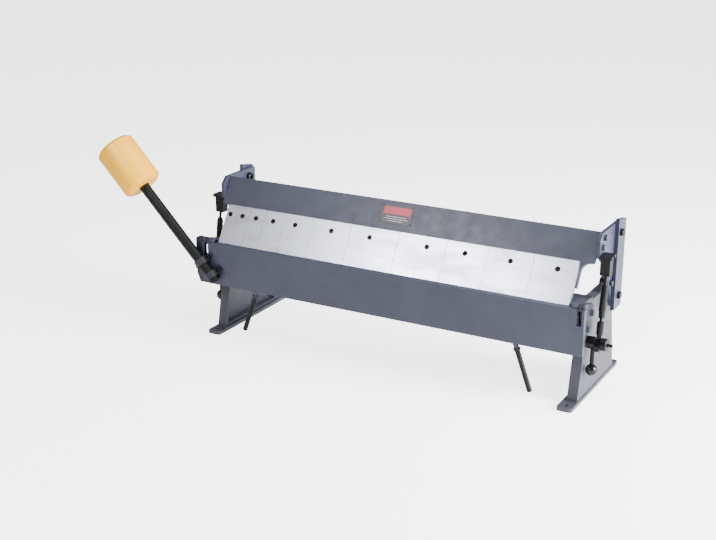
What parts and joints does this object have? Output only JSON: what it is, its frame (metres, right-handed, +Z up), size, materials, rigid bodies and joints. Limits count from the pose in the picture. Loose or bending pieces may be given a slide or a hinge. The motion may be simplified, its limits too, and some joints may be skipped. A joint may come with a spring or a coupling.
{
  "type": "sheet metal brake",
  "caption": "Hand sheet metal brake for a bench: slanted clamping fingers on a lifting beam, a hinged bending apron with handles and a counterweight, and a clamp lever at each end.",
  "frame": {"origin": "middle of the machine's box in X and Y, on the bench", "axes": "+X to the right along the bend line, +Y to the back, +Z up"},
  "size_m": [1.763, 0.4964, 0.6472],
  "materials": {
    "grey_casting": "blue-grey paint on cast iron",
    "grey_plate": "blue-grey satin paint",
    "dark_plate": "dark grey paint",
    "yellow_paint": "yellow gloss paint",
    "bright_steel": "ground bright steel",
    "turned_steel": "turned steel",
    "black_steel": "blackened steel",
    "bronze": "bearing bronze",
    "black_plastic": "black phenolic plastic",
    "label": "printed sheet plate without lettering"
  },
  "bodies": {
    "frame": {"side_frame_left": "grey_casting", "side_frame_right": "grey_casting", "bed_plate": "grey_plate", "bed_front_web": "grey_plate", "bed_end_plate_left": "grey_plate", "bed_end_plate_right": "grey_plate", "bed_rib_left": "grey_plate", "bed_rib_right": "grey_plate", "hinge_bracket_left": "dark_plate", "hinge_bracket_right": "dark_plate", "clamp_bush_left": "bronze", "clamp_bush_right": "bronze", "pivot_pin_left": "turned_steel", "pivot_pin_right": "turned_steel"},
    "apron": {"apron": "grey_plate", "apron_knuckle_left": "grey_plate", "apron_knuckle_right": "grey_plate", "hinge_pin_left": "turned_steel", "hinge_pin_right": "turned_steel", "bending_handle_left": "black_steel", "bending_handle_right": "black_steel", "counterweight_bracket": "dark_plate", "counterweight_rod": "black_steel", "counterweight": "yellow_paint", "rod_saddle_1": "dark_plate", "rod_saddle_2": "dark_plate"},
    "upper_beam": {"upper_beam": "grey_plate", "beam_end_plate_left": "grey_plate", "beam_end_plate_right": "grey_plate", "rear_upright_left": "grey_plate", "rear_upright_right": "grey_plate", "finger_01": "bright_steel", "finger_02": "bright_steel", "finger_03": "bright_steel", "finger_04": "bright_steel", "finger_05": "bright_steel", "finger_06": "bright_steel", "finger_07": "bright_steel", "finger_08": "bright_steel", "finger_09": "bright_steel", "finger_10": "bright_steel", "finger_11": "bright_steel", "link_block_left": "black_steel", "link_block_right": "black_steel"},
    "clamp_left": {"clamp_shaft_left": "black_steel", "shaft_nut_left": "turned_steel", "shaft_collar_left": "black_steel", "clamp_lever_left": "turned_steel", "ball_knob_left": "black_plastic"},
    "clamp_right": {"clamp_shaft_right": "black_steel", "shaft_nut_right": "turned_steel", "shaft_collar_right": "black_steel", "clamp_lever_right": "turned_steel", "ball_knob_right": "black_plastic"},
    "link_left": {"link_eye_left": "black_steel", "turnbuckle_left": "black_steel", "tie_rod_left": "black_steel"},
    "link_right": {"link_eye_right": "black_steel", "turnbuckle_right": "black_steel", "tie_rod_right": "black_steel"}
  },
  "joints": [
    {"name": "apron_swing", "type": "hinge", "parent": "frame", "child": "apron", "pos_m": [0.16049, -0.14685, 0.318], "axis": [-1, 0, 0], "range_deg": [0, 115]},
    {"name": "beam_lift", "type": "hinge", "parent": "frame", "child": "upper_beam", "pos_m": [0.16049, 0.06615, 0.331], "axis": [-1, 0, 0], "range_deg": [0, 5]},
    {"name": "clamp_lever_left", "type": "hinge", "parent": "frame", "child": "clamp_left", "pos_m": [-0.50158, -0.06485, 0.186], "axis": [1, 0, 0], "range_deg": [0, 110]},
    {"name": "clamp_lever_right", "type": "hinge", "parent": "frame", "child": "clamp_right", "pos_m": [0.82256, -0.06485, 0.186], "axis": [1, 0, 0], "range_deg": [0, 110]},
    {"name": "link_pivot_left", "type": "hinge", "parent": "clamp_left", "child": "link_left", "pos_m": [-0.51721, -0.06485, 0.1794], "axis": [1, 0, 0], "range_deg": [-110, 0]},
    {"name": "link_pivot_right", "type": "hinge", "parent": "clamp_right", "child": "link_right", "pos_m": [0.83819, -0.06485, 0.1794], "axis": [1, 0, 0], "range_deg": [-110, 0]}
  ],
  "couplings": [
    {"joint": "clamp_lever_left", "follows": "beam_lift", "ratio": 22},
    {"joint": "clamp_lever_right", "follows": "beam_lift", "ratio": 22},
    {"joint": "link_pivot_left", "follows": "beam_lift", "ratio": -22},
    {"joint": "link_pivot_right", "follows": "beam_lift", "ratio": -22}
  ]
}
